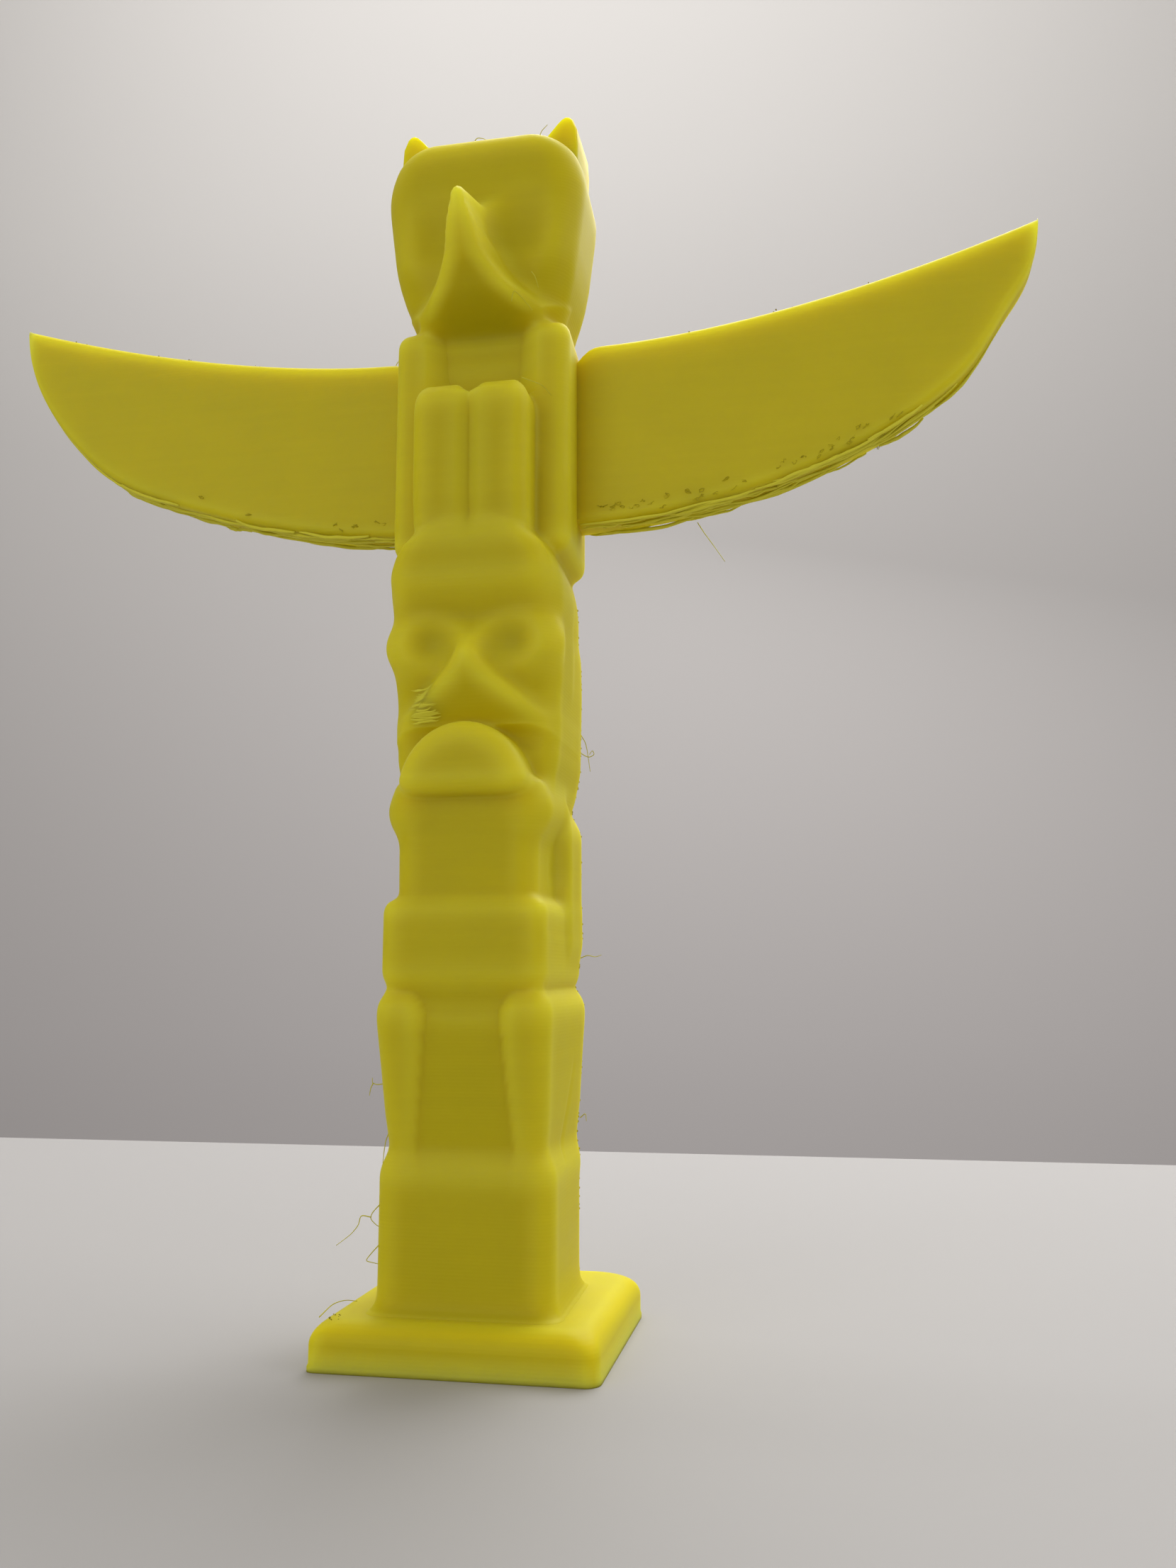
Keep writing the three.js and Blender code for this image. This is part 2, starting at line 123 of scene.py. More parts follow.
legsLook = {
    "low": 9, "top": 20.45, "corner": 1.0, "shoulder": 1.5,
    "halves": [(11, 4.55), (13.5, 4.82), (16.2, 4.98), (18.6, 5.14)],
    "widerByDepth": [(-5.6, 0), (flatBack, 0.14)],
    "fronts": [(11, -5.6), (18.6, -6.9)],
    "channel": 2.45, "channelTaper": 0.05, "channelFrom": 12, "channelBlend": 1.1,
    "channelFloors": [(11, -5.75), (18.6, -6.45)],
    "dip": (0, -7.9, 20.9), "dipSize": (2.9, 1.95, 1.9), "dipBlend": 0.9,
    "grooveLow": (4.9, -1.9, 10.4), "grooveHigh": (5.5, 0.4, 15.8), "grooveRadius": 0.34, "grooveBlend": 0.35,
}


def legs(x, y, z):  # a bar that widens upwards, hollowed between two knees and grooved at the side
    g = legsLook
    ax = np.abs(x)
    half = along(z, *g["halves"]) + along(y, *g["widerByDepth"])
    plan = post(x, y, half, along(z, *g["fronts"]), flatBack, g["corner"])
    d = smoothMax(plan, between(z, g["low"], g["top"]), g["shoulder"])
    channelHalf = g["channel"] - g["channelTaper"] * (z - g["channelFrom"])
    channel = np.maximum(ax - channelHalf, y - along(z, *g["channelFloors"]))
    d = smoothMax(d, -channel, g["channelBlend"])
    d = smoothMax(d, -ball(x, y, z, g["dip"], g["dipSize"]), g["dipBlend"])
    groove = rod(ax, y, z, g["grooveLow"], g["grooveHigh"], g["grooveRadius"])
    return smoothMax(d, -groove, g["grooveBlend"])


bandLook = {"half": 4.84, "front": -6.8, "low": 20.6, "top": 25.6, "corner": 0.8, "round": 1.0}


def band(x, y, z):  # a thick belt with a flat front
    b = bandLook
    bar = post(x, y, b["half"], b["front"], flatBack, b["corner"])
    return smoothMax(bar, between(z, b["low"], b["top"]), b["round"])


torsoLook = {
    "low": 22, "bellyFront": -6.45, "bellyTop": 32.6, "bellyCorner": 1.2, "bellyRound": 0.8,
    "bellyHalves": [(25.4, 4.15), (29, 4.2), (32, 4.4)],
    "backHalf": 5.05, "backFront": -0.9, "backTop": 31.1, "backCorner": 0.9, "backRound": 1.5, "blend": 0.8,
    "pocket": (6.3, -2.1, 27.5), "pocketSize": (2.0, 2.1, 2.3), "pocketBlend": 0.5,
    "elbow": (3.7, -5.0, 30.7), "shoulder": (3.7, -1.2, 31.0), "armRadius": 1.15, "armBlend": 1.2,
}


def torso(x, y, z):  # a belly slab in front of a wider back, with arms over a pocket at each side
    t = torsoLook
    ax = np.abs(x)
    bellyPlan = post(x, y, along(z, *t["bellyHalves"]), t["bellyFront"], flatBack, t["bellyCorner"])
    belly = smoothMax(bellyPlan, between(z, t["low"], t["bellyTop"]), t["bellyRound"])
    backPlan = post(x, y, t["backHalf"], t["backFront"], flatBack, t["backCorner"])
    back = smoothMax(backPlan, between(z, t["low"], t["backTop"]), t["backRound"])
    pocket = ball(ax, y, z, t["pocket"], t["pocketSize"])
    d = smoothMax(smoothMin(belly, back, t["blend"]), -pocket, t["pocketBlend"])
    return smoothMin(d, rod(ax, y, z, t["elbow"], t["shoulder"], t["armRadius"]), t["armBlend"])


visorLook = {"half": 3.9, "rise": 4.3, "low": 31.5, "front": -7.85, "back": 2, "rim": 1.3, "underRim": 1.1}


def visor(x, y, z):  # half an ellipse with a flat underside and a round rim
    v = visorLook
    disc = smoothMax(arch(x, z, v["half"], v["rise"], v["low"]), v["front"] - y, v["rim"])
    return smoothMax(disc, np.maximum(v["low"] - z, y - v["back"]), v["underRim"])


bearLook = {
    "low": 31.6, "front": -4.5, "top": 48.5, "corner": 1.0,
    "backHalves": [(32, 4.6), (34, 5), (39, 5.1), (41.4, 5.05), (42.1, 4.93), (43.6, 4.78), (45, 4.5),
                   (46.5, 4.2)],
    "backTop": 47.4, "backRound": 1.0,
    "cheekHalves": [(36.5, 4.1), (37.5, 4.4), (38.8, 4.85), (40, 5.0), (43, 5.2)],
    "cheekFronts": [(36, -4.3), (38.5, -5.1), (43.5, -5.4)],
    "cheekBack": 0.5, "cheekCorner": 1.4, "cheekLow": 35.6, "cheekTop": 46,
    "cheekRound": 2.2, "cheekBlend": 0.8,
    "browHalves": [(43.5, 5.15), (45.3, 5.1), (46.3, 4.8), (47.1, 4.3), (47.8, 3.5), (48.4, 2.4)],
    "browFront": -6.8, "browLow": 43.2, "browCorner": 1.3, "browRound": 2.0, "browBlend": 1.2,
    "browNarrowerByDepth": [(-6.8, -0.12), (flatBack, -0.62)],
    "lid": (3.15, -4.8, 40.85), "lidSize": (2.3, 1.3, 1.75), "lidBlend": 0.9,
    "socket": (2.5, -6.55, 40.8), "socketSize": (1.4, 1.3, 1.3), "socketBlend": 0.85,
    "snoutBlend": 1.5,
}


def bear(x, y, z):  # cheeks under a rounded brow, hollow eyes at the corners and a hooked snout
    b = bearLook
    ax = np.abs(x)
    backPlan = post(x, y, along(z, *b["backHalves"]), b["front"], flatBack, b["corner"])
    back = smoothMax(backPlan, between(z, b["low"], b["backTop"]), b["backRound"])
    cheekFront = along(z, *b["cheekFronts"])
    cheekPlan = post(x, y, along(z, *b["cheekHalves"]), cheekFront, b["cheekBack"], b["cheekCorner"])
    cheek = smoothMax(cheekPlan, between(z, b["cheekLow"], b["cheekTop"]), b["cheekRound"])
    browHalf = along(z, *b["browHalves"]) + along(y, *b["browNarrowerByDepth"])
    browPlan = post(x, y, browHalf, b["browFront"], flatBack, b["browCorner"])
    brow = smoothMax(browPlan, between(z, b["browLow"], b["top"]), b["browRound"])
    d = smoothMin(smoothMin(back, cheek, b["cheekBlend"]), brow, b["browBlend"])
    d = smoothMin(d, ball(ax, y, z, b["lid"], b["lidSize"]), b["lidBlend"])
    d = smoothMin(d, snout(ax, y, z), b["snoutBlend"])
    return smoothMax(d, -ball(ax, y, z, b["socket"], b["socketSize"]), b["socketBlend"])


snoutLook = {
    "halves": [(36.4, 4.0), (37.2, 3.3), (37.7, 2.7), (38.4, 1.9), (39.1, 1.25), (39.6, 0.9), (40.5, 0.6)],
    "fronts": [(36, -5.0), (36.5, -5.5), (37.3, -6.05), (37.7, -6.3), (38.4, -6.75), (39.3, -7.1),
               (40.2, -7.3)],
    "ridgeByDepth": [(-7.3, 40.5), (-5, 41.5)],
    "low": 36, "back": 1, "flankSlope": 0.85, "underBlend": 1.1, "ridgeSlope": 0.9, "ridgeBlend": 1.0,
}


def snout(ax, y, z):  # a blunt ridge that widens downwards, its underside running back to the mouth
    n = snoutLook
    flank = n["flankSlope"] * (ax - along(z, *n["halves"]))
    d = smoothMax(flank, along(z, *n["fronts"]) - y, n["underBlend"])
    d = smoothMax(d, n["ridgeSlope"] * (z - along(y, *n["ridgeByDepth"])), n["ridgeBlend"])
    return highest(d, n["low"] - z, y - n["back"])


birdLook = {
    "low": 46.8, "top": 61.8, "front": -4.15, "corner": 0.9, "round": 1.1,
    "halvesByDepth": [(-4, 5.66), (flatBack, 5.25)],
    "chest": 3.0, "chestY": -2.9, "chestLow": 53, "chestBlend": 0.9,
}
feetLook = {
    "x": 1.8, "half": 1.8, "back": -2.8, "corner": 0.95, "low": 46.6, "top": 57.1, "toe": 1.8,
    "fronts": [(47.6, -6.45), (50, -6.8), (57, -6.9)],
    "valley": 0.38, "valleyLower": 0.9, "valleyBlend": 0.45, "blend": 0.4,
}


def bird(x, y, z):  # a body hollowed at the chest, with two folded feet side by side in front
    b, f = birdLook, feetLook
    ax = np.abs(x)
    bodyPlan = post(x, y, along(y, *b["halvesByDepth"]), b["front"], flatBack, b["corner"])
    body = smoothMax(bodyPlan, between(z, b["low"], b["top"]), b["round"])
    hollow = highest(ax - b["chest"], y - b["chestY"], b["chestLow"] - z)
    d = smoothMax(body, -hollow, b["chestBlend"])
    front = along(z, *f["fronts"])
    footPlan = post(ax - f["x"], y, f["half"], front, f["back"], f["corner"])
    foot = smoothMax(footPlan, between(z, f["low"], f["top"]), f["toe"])
    webHeight = between(z, f["low"], f["top"] - f["valleyLower"])
    web = highest(ax - f["x"], front + f["valley"] - y, y - f["back"], webHeight)
    return smoothMin(d, smoothMin(foot, web, f["valleyBlend"]), f["blend"])


headLook = {
    "low": 58, "top": 74.65, "corner": 2.2, "crown": 1.6,
    "halves": [(61.5, 4.25), (62.9, 4.62), (64, 5.08), (65.2, 5.42), (66.7, 5.7), (68.7, 5.95), (70.3, 6.15),
               (71.3, 6.2), (72.2, 6.05), (73.2, 5.7), (74.1, 5.05), (75.2, 4.0)],
    "widerByDepth": [(-5, 0.4), (flatBack, 0.08)],
    "rearTuck": [(71.5, 0), (73, 0.28)], "rearTuckFrom": -1,
    "fronts": [(61.5, -3.2), (63.5, -4.2), (66, -4.85)],
    "eye": (2.9, -5.9, 67.6), "eyeSize": (1.8, 1.35, 2.3), "eyeBlend": 0.9, "beakBlend": 1.1,
}


def head(x, y, z):  # a rounded block, widest above the eyes, with faint hollows beside the beak
    h = headLook
    ax = np.abs(x)
    rear = flatBack - h["rearTuckFrom"]
    tuck = along(z, *h["rearTuck"]) * np.clip(y - h["rearTuckFrom"], 0, rear) / rear
    half = along(z, *h["halves"]) + along(y, *h["widerByDepth"]) - tuck
    plan = post(x, y, half, along(z, *h["fronts"]), flatBack, h["corner"])
    skull = smoothMax(plan, between(z, h["low"], h["top"]), h["crown"])
    skull = smoothMax(skull, -ball(ax, y, z, h["eye"], h["eyeSize"]), h["eyeBlend"])
    return smoothMin(skull, beak(ax, y, z), h["beakBlend"])


beakLook = {
    "fronts": [(61.3, -2.8), (61.7, -3.9), (62.0, -5.0), (62.7, -6.8), (64.2, -8.5), (65.8, -9.4),
               (67.6, beakTip - 0.1)],
    "halves": [(61.5, 3.3), (62.0, 3.0), (62.6, 2.4), (63.3, 1.7), (64.3, 1.05), (66, 0.8), (67.5, 0.36)],
    "spreads": [(62.2, 0.85), (62.6, 0.72), (63.8, 0.42), (65, 0.22), (66.4, 0.06)],
    "widest": [(61.3, 3.2), (62.0, 3.75), (63, 4.4), (64.5, 5.1)],
    "ridgeByDepth": [(beakTip, 67.75), (-4.8, 69.2)],
    "low": 61.0, "back": -2, "flankSlope": 0.8, "underBlend": 0.6, "ridgeSlope": 0.9, "ridgeBlend": 0.5,
}


def beak(ax, y, z):  # a thin level ridge that spreads downwards and backwards into the cheeks and the throat
    k = beakLook
    under = along(z, *k["fronts"])
    spread = along(z, *k["halves"]) + along(z, *k["spreads"]) * np.maximum(y - under, 0)
    flank = k["flankSlope"] * (ax - np.minimum(spread, along(z, *k["widest"])))
    d = smoothMax(flank, under - y, k["underBlend"])
    d = smoothMax(d, k["ridgeSlope"] * (z - along(y, *k["ridgeByDepth"])), k["ridgeBlend"])
    return highest(d, beakTip - y, k["low"] - z, y - k["back"])


neckLook = {
    "waist": {"half": 4.42, "front": -6.3, "corner": 1.0, "low": 18, "high": 23, "round": 0.2},
    "collar": {"half": 4.15, "front": -4.5, "corner": 0.9, "low": 28, "high": 34, "round": 0.2},
    "nape": {"half": 4.3, "front": -2.8, "corner": 1.0, "low": 45, "high": 66, "round": 0.3},
}
meltLook = {"legs": 0.7, "band": 0.8, "torso": 0.5, "visor": 0.4, "bear": 0.5, "bird": 0.6, "head": 0.9}


def pole(x, y, z):  # all the figures, with slim necks that bridge the notches between them
    m = meltLook
    necks = {}
    for name, n in neckLook.items():
        plan = post(x, y, n["half"], n["front"], flatBack, n["corner"])
        necks[name] = smoothMax(plan, between(z, n["low"], n["high"]), n["round"])
    d = smoothMin(block(x, y, z), legs(x, y, z), m["legs"])
    d = smoothMin(np.minimum(d, necks["waist"]), band(x, y, z), m["band"])
    d = smoothMin(d, torso(x, y, z), m["torso"])
    d = smoothMin(np.minimum(d, necks["collar"]), visor(x, y, z), m["visor"])
    d = smoothMin(d, bear(x, y, z), m["bear"])
    d = smoothMin(d, bird(x, y, z), m["bird"])
    return smoothMin(np.minimum(d, necks["nape"]), head(x, y, z), m["head"])


wingLook = {
    "rootX": 6.0, "front": -0.63, "back": 1.9, "edge": 0.5, "stations": 130, "innerX": 3.6,
    "top": 61.6, "topRise": 5.15, "topBend": 1.7, "rightLift": 0.4,
    "notchX": 4.9, "notchDepth": 1.35, "notchWidth": 1.0,
    "low": 49.5, "lowRise": 17.0, "straightShare": 0.07,
    "rightSlim": 1.0, "slimX": 32.4, "slimWidth": 1.9, "leftFull": 0.6, "fullX": 27, "fullWidth": 4.5,
}


def bell(x, middle, width):
    return np.exp(-((x - middle) / width)**2)


def wingTop(x, side):
    # rises gently to the tip, a little more on the right, and dips into the notch by the head
    w = wingLook
    s = np.clip((x - w["rootX"] - 1) / (wingTip - w["rootX"] - 1), 0, 1)
    lift = w["rightLift"] * np.maximum(side, 0) * s**2
    notch = w["notchDepth"] * bell(x, w["notchX"], w["notchWidth"])
    return w["top"] + w["topRise"] * s**w["topBend"] + lift - notch


def wingLow(x, side):
    # sweeps up to the tip like a quarter of an ellipse, slimmer by the right tip and fuller on the left
    w = wingLook
    s = np.clip((x - w["rootX"]) / (wingTip - w["rootX"]), 0, 1)
    rise = w["straightShare"] * s + (1 - w["straightShare"]) * (1 - np.sqrt(1 - s * s))
    slim = w["rightSlim"] * np.maximum(side, 0) * bell(x, w["slimX"], w["slimWidth"])
    full = w["leftFull"] * np.maximum(-side, 0) * bell(x, w["fullX"], w["fullWidth"])
    return w["low"] + w["lowRise"] * rise + slim - full


# Grids of points, and the meshes made from them

def crowd(samples, positions, count, evenShare):
    # positions spaced by the running sum of the root of the samples' bend, plus an even share
    bend = np.zeros(len(samples))
    bend[1:-1] = np.sqrt(np.abs(samples[:-2] - 2 * samples[1:-1] + samples[2:]).mean(axis=1))
    bend[0], bend[-1] = bend[1], bend[-2]
    steps = bend + evenShare * bend.mean()
    sums = np.concatenate([[0], np.cumsum((steps[1:] + steps[:-1]) / 2)])
    return np.interp(np.linspace(0, sums[-1], count), sums, positions)


def castRays(origin, direction, reach=10.6, coarse=0.15, halvings=13):
    # the outermost point inside the pole along each ray, found by steps inwards and then by halving
    far = np.zeros(direction[0].shape)
    found = np.zeros(direction[0].shape, bool)
    for step in np.arange(reach, 0, -coarse):
        hit = (pole(*(o + d * step for o, d in zip(origin, direction))) < 0) & ~found
        far[hit] = step
        found |= hit
    near, beyond = far, far + coarse
    for _ in range(halvings):
        middle = (near + beyond) / 2
        inside = pole(*(o + d * middle for o, d in zip(origin, direction))) < 0
        near = np.where(inside, middle, near)
        beyond = np.where(inside, beyond, middle)
    return near


def closedLoft(name, rings, bottom, top):
    # faces between neighbouring rings, and a fan to a middle point at each end
    rows, around = rings.shape[:2]
    points = np.concatenate([rings.reshape(-1, 3), [bottom, top]]) * millimetre
    i, j = np.meshgrid(np.arange(rows - 1), np.arange(around), indexing="ij")
    k = (j + 1) % around
    quads = np.stack([i * around + j, i * around + k, (i + 1) * around + k, (i + 1) * around + j], -1)
    quads = quads.reshape(-1, 4)
    j, k = np.arange(around), (np.arange(around) + 1) % around
    last = (rows - 1) * around
    low = np.stack([k, j, np.full(around, rows * around)], -1)
    high = np.stack([last + j, last + k, np.full(around, rows * around + 1)], -1)
    mesh = bpy.data.meshes.new(name)
    mesh.from_pydata(points.tolist(), [], quads.tolist() + low.tolist() + high.tolist())
    piece = bpy.data.objects.new(name, mesh)
    bpy.context.scene.collection.objects.link(piece)
    return piece


def roundedRing(halfU, halfV, radii, arcSteps, straightU, straightV):
    # points round a rectangle with round corners, anticlockwise from +U, with straight runs between the arcs;
    # sizes and radii may be columns, one row for each ring
    arcs = []
    for quarter, radius in enumerate(radii):
        angle = np.linspace(quarter, quarter + 1, arcSteps + 1)[None, :] * math.pi / 2
        cornerU = 1 if quarter in (0, 3) else -1
        cornerV = 1 if quarter in (0, 1) else -1
        u = cornerU * (halfU - radius) + radius * np.cos(angle)
        v = cornerV * (halfV - radius) + radius * np.sin(angle)
        arcs.append(np.stack([u, v]))
    runs = []
    for quarter, arc in enumerate(arcs):
        share = np.linspace(0, 1, (straightU if quarter in (0, 2) else straightV) + 2)[1:-1]
        runs += [arc, arc[..., -1:] * (1 - share) + arcs[(quarter + 1) % 4][..., :1] * share]
    return np.concatenate(runs, axis=2)


skinLook = {"heights": 375, "angles": 188, "crownRings": 36, "start": 1.3, "crownFrom": 70.0}


def makePole():
    # the outermost distance of the pole from its inner line, by height and angle, then by lift at the crown
    s = skinLook
    heights = np.arange(s["start"], s["crownFrom"] + 0.01, 0.25)
    turns = np.linspace(0, 2 * math.pi, 121)
    def ringPoints(z, angle, lift):
        direction = (np.cos(angle) * np.cos(lift), np.sin(angle) * np.cos(lift), np.sin(lift))
        origin = (0.0, innerLine, z)
        far = castRays(origin, direction)
        return np.stack([o + d * far for o, d in zip(origin, direction)], -1), far
    z, angle = np.meshgrid(heights, turns, indexing="ij")
    _, rough = ringPoints(z, angle, 0 * z)
    heights = crowd(rough, heights, s["heights"] // (1), 0.9)
    turns = crowd(rough.T, turns, s["angles"] // 1 + 1, 0.8)[:-1]
    z, angle = np.meshgrid(heights, turns, indexing="ij")
    sides, _ = ringPoints(z, angle, 0 * z)
    lifts = np.linspace(0, math.pi / 2, s["crownRings"] + 2)[1:-1]
    lift, angle = np.meshgrid(lifts, turns, indexing="ij")
    crown, _ = ringPoints(s["crownFrom"] + 0 * lift, angle, lift)
    apex, _ = ringPoints(np.array([s["crownFrom"]]), np.array([0.0]), np.array([math.pi / 2]))
    return closedLoft("figures", np.concatenate([sides, crown]), (0, innerLine, s["start"]), apex[0])


def makeSlab():
    # square rings: upright below, then a quarter round at the upper edge
    s = slabLook
    arc = np.linspace(0, math.pi / 2, 12)
    inset = np.concatenate([[0.0, 0.0, s["foot"]], s["foot"] + s["edge"] * (1 - np.cos(arc)),
                            [1.9, 2.8, 4.5, 6.5]])
    level = np.concatenate([[0.0, 0.25, 0.4], s["height"] - s["edge"] * (1 - np.sin(arc)), [s["height"]] * 4])
    half = slabHalf - inset[:, None]
    radii = [np.minimum(corner + 0.5 * inset[:, None], half) for corner in s["corners"]]
    u, v = roundedRing(half, half, radii, 8, 24, 24)
    rings = np.stack([u, v, np.broadcast_to(level[:, None], u.shape)], -1)
    return closedLoft("slab", rings, (0, 0, 0), (0, 0, s["height"]))


def makeWing(side):
    # a rounded rectangle carried from the root to the tip, as tall as the wing is there
    w = wingLook
    turn = np.linspace(0, math.pi / 2, w["stations"])
    x = (wingTip - (wingTip - w["innerX"]) * (1 - np.sin(turn)))[:, None]
    x = np.minimum(x, wingTip - 0.004)
    top = wingTop(x, side)
    low = np.minimum(wingLow(x, side), top - 0.06)
    halfZ = (top - low) / 2
    halfY = (w["back"] - w["front"]) / 2 + 0 * x
    radius = np.minimum(w["edge"], halfZ * 0.95)
    u, v = roundedRing(halfY, halfZ, [radius] * 4, 4, 3, 22)
    y = (w["back"] + w["front"]) / 2 + u
    z = (top + low) / 2 + v
    rings = np.stack([x + 0 * y, y, z], -1)
    if side < 0:
        rings = rings[:, ::-1] * [-1, 1, 1]
    middleY = (w["back"] + w["front"]) / 2
    ends = [(side * endX, middleY, float((top + low)[row, 0] / 2))
            for row, endX in ((0, w["innerX"]), (-1, wingTip))]
    return closedLoft("wing", rings, *ends)


earLook = {"front": -2.65, "back": 1.4, "round": 0.22}


def makeEar(side):
    # a blunt-tipped outline carried from front to back, drawn in a little at both ends
    e = earLook
    outline = np.array([(2.6, 73), (3.0, 74.2), (3.9, 75.3), (4.6, 76.12), (4.9, 76.42), (5.15, 76.55),
                        (5.4, 76.5), (5.6, 76.3), (5.88, 75.6), (5.95, 74.4), (5.9, 72.5)])
    middle = outline.mean(axis=0)
    turn = np.linspace(0, math.pi / 2, 5)
    rim = e["round"] * (1 - np.sin(turn))
    depth = np.concatenate([e["front"] + rim[::-1], e["back"] - rim])
    toEdge = np.minimum(depth - e["front"], e["back"] - depth) / e["round"]
    size = 1 - 0.09 * np.clip(1 - toEdge, 0, 1)**2
    flat = middle + (outline - middle) * size[:, None, None]
    rings = np.stack([side * flat[..., 0], np.broadcast_to(depth[:, None], flat.shape[:2]), flat[..., 1]], -1)
    if side > 0:
        rings = rings[:, ::-1]
    ends = [(side * middle[0], e[end], middle[1]) for end in ("front", "back")]
    return closedLoft("ear", rings, *ends)


def unite(base, others):
    for other in others:
        join = base.modifiers.new("join", "BOOLEAN")
        join.operation = "UNION"
        join.solver = "MANIFOLD"
        join.object = other
    bpy.context.view_layer.update()
    mesh = bpy.data.meshes.new_from_object(base.evaluated_get(bpy.context.evaluated_depsgraph_get()))
    base.modifiers.clear()
    for other in others:
        bpy.data.objects.remove(other)
    base.data = mesh
    return base


figurine = unite(makePole(), [makeSlab()] + [make(side) for make in (makeWing, makeEar) for side in (1, -1)])
figurine.name = figurine.data.name = "printed_totem_pole"
figurine.data.shade_smooth()
figurine.data.set_sharp_from_angle(angle=math.radians(38))
figurine.data.calc_loop_triangles()
print("figurine:", len(figurine.data.vertices), "points,", len(figurine.data.loop_triangles), "triangles")


def readPoints(piece):
    values = np.zeros(len(piece.data.vertices) * 3)
    piece.data.vertices.foreach_get("co", values)
    return values.reshape(-1, 3) / millimetre


def readNormals(piece):
    values = np.zeros(len(piece.data.vertices) * 3)
    piece.data.vertices.foreach_get("normal", values)
    return values.reshape(-1, 3)


def whole(x, y, z):  # distance to the whole print, for shading how thin or how hollow it is at a point
    ax = np.abs(x)
    w = wingLook
    side = np.sign(x)
    wing = highest(between(y, w["front"], w["back"]), wingLow(ax, side) - z, z - wingTop(ax, side),
                   ax - wingTip, 4 - ax)
    foot = highest(ax - slabHalf, np.abs(y) - slabHalf, between(z, 0, slabLook["height"]))
    ear = highest(np.abs(y + 0.6) - 2.0, ax - 5.75, z - 76.5, z - 74.2 - 1.2 * (ax - 3.0), 72 - z)
    return np.minimum.reduce([pole(x, y, z), wing, foot, ear])


def writeAttribute(piece, name, values):
    attribute = piece.data.attributes.new(name, "FLOAT", "POINT")
    attribute.data.foreach_set("value", values.astype(np.float32))


def markDepths(piece):
    # hollow: how closed in the space just outside is; thin: how little plastic lies just inside
    points, normals = readPoints(piece), readNormals(piece)
    outside = [whole(*(points + normals * step).T) / step for step in (0.6, 1.3, 2.2)]
    writeAttribute(piece, "hollow", np.clip(1 - sum(outside) / 3, 0, 1))
    inside = [-whole(*(points - normals * step).T) / step for step in (0.5, 1.0, 1.8)]
    writeAttribute(piece, "thin", np.clip(1 - sum(inside) / 3, 0, 1))


markDepths(figurine)
print("depths marked")


def attach(piece, dust=0.0, thin=0.0):
    # gives a loose part its shading attributes and its place in the model
    count = len(piece.data.vertices)
    writeAttribute(piece, "dust", np.full(count, dust))
    if "thin" not in piece.data.attributes:
        writeAttribute(piece, "thin", np.full(count, thin))
    piece.data.shade_smooth()
    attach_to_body(piece, "root")
    pieces.append(piece)


def makeTubes(name, paths, radii, sides=6):
    # round tubes: each point of a path gets a ring square to the path's run, and each end a middle point
    count, steps = paths.shape[:2]
    run = np.gradient(paths, axis=1)
    run /= np.linalg.norm(run, axis=2, keepdims=True) + 1e-9
    first = np.cross(run, np.array([0.31, 0.27, 0.91]) * np.ones_like(run))
    first /= np.linalg.norm(first, axis=2, keepdims=True) + 1e-9
    second = np.cross(run, first)
    angle = np.linspace(0, 2 * math.pi, sides, endpoint=False)[:, None]
    ring = np.cos(angle) * first[:, :, None] + np.sin(angle) * second[:, :, None]
    skin = (paths[:, :, None] + radii[:, :, None, None] * ring).reshape(count, -1, 3)
    points = np.concatenate([skin, paths[:, :1], paths[:, -1:]], axis=1)
    i, j = (part.ravel() for part in np.meshgrid(np.arange(steps - 1), np.arange(sides), indexing="ij"))
    k = (j + 1) % sides
    quads = np.stack([i * sides + j, i * sides + k, (i + 1) * sides + k, (i + 1) * sides + j], -1)
    j, k = np.arange(sides), (np.arange(sides) + 1) % sides
    start = np.stack([k, j, np.full(sides, steps * sides)], -1)
    end = np.stack([(steps - 1) * sides + j, (steps - 1) * sides + k, np.full(sides, steps * sides + 1)], -1)
    shift = (np.arange(count) * (steps * sides + 2))[:, None, None]
    faces = (quads + shift).reshape(-1, 4).tolist()
    faces += (start + shift).reshape(-1, 3).tolist() + (end + shift).reshape(-1, 3).tolist()
    mesh = bpy.data.meshes.new(name)
    mesh.from_pydata((points.reshape(-1, 3) * millimetre).tolist(), [], faces)
    piece = bpy.data.objects.new(name, mesh)
    bpy.context.scene.collection.objects.link(piece)
    return piece


def makeBlobs(name, centres, radii):
    # small round lumps: one ball of rings and poles copied to every place
    lift = np.linspace(-math.pi / 2, math.pi / 2, 5)[:, None]
    upright = np.stack([0 * lift, 0 * lift, np.sin(lift)], -1)[None, :, 0]
    paths = centres[:, None] + radii[:, None, None] * upright
    widths = radii[:, None] * np.maximum(np.cos(lift[:, 0]), 0.12)[None, :]
    return makeTubes(name, paths, widths)


def wander(rng, count, steps, size):
    # smooth random swings along a path: a sum of three sines of random phase and falling size
    share = np.linspace(0, 1, steps)[None, :]
    swing = 0
    for wave in (1, 2, 4):
        phase = rng.uniform(0, 2 * math.pi, (count, 1))
        swing = swing + np.sin(2 * math.pi * wave * share * rng.uniform(0.6, 1.3, (count, 1)) + phase) / wave
    return size * swing


pieces = [figurine]
writeAttribute(figurine, "dust", np.zeros(len(figurine.data.vertices)))
strandLook = {
    "count": 95, "steps": 26, "length": (1.5, 8), "sag": (0.02, 0.2), "radius": (0.07, 0.14), "seed": 5,
}


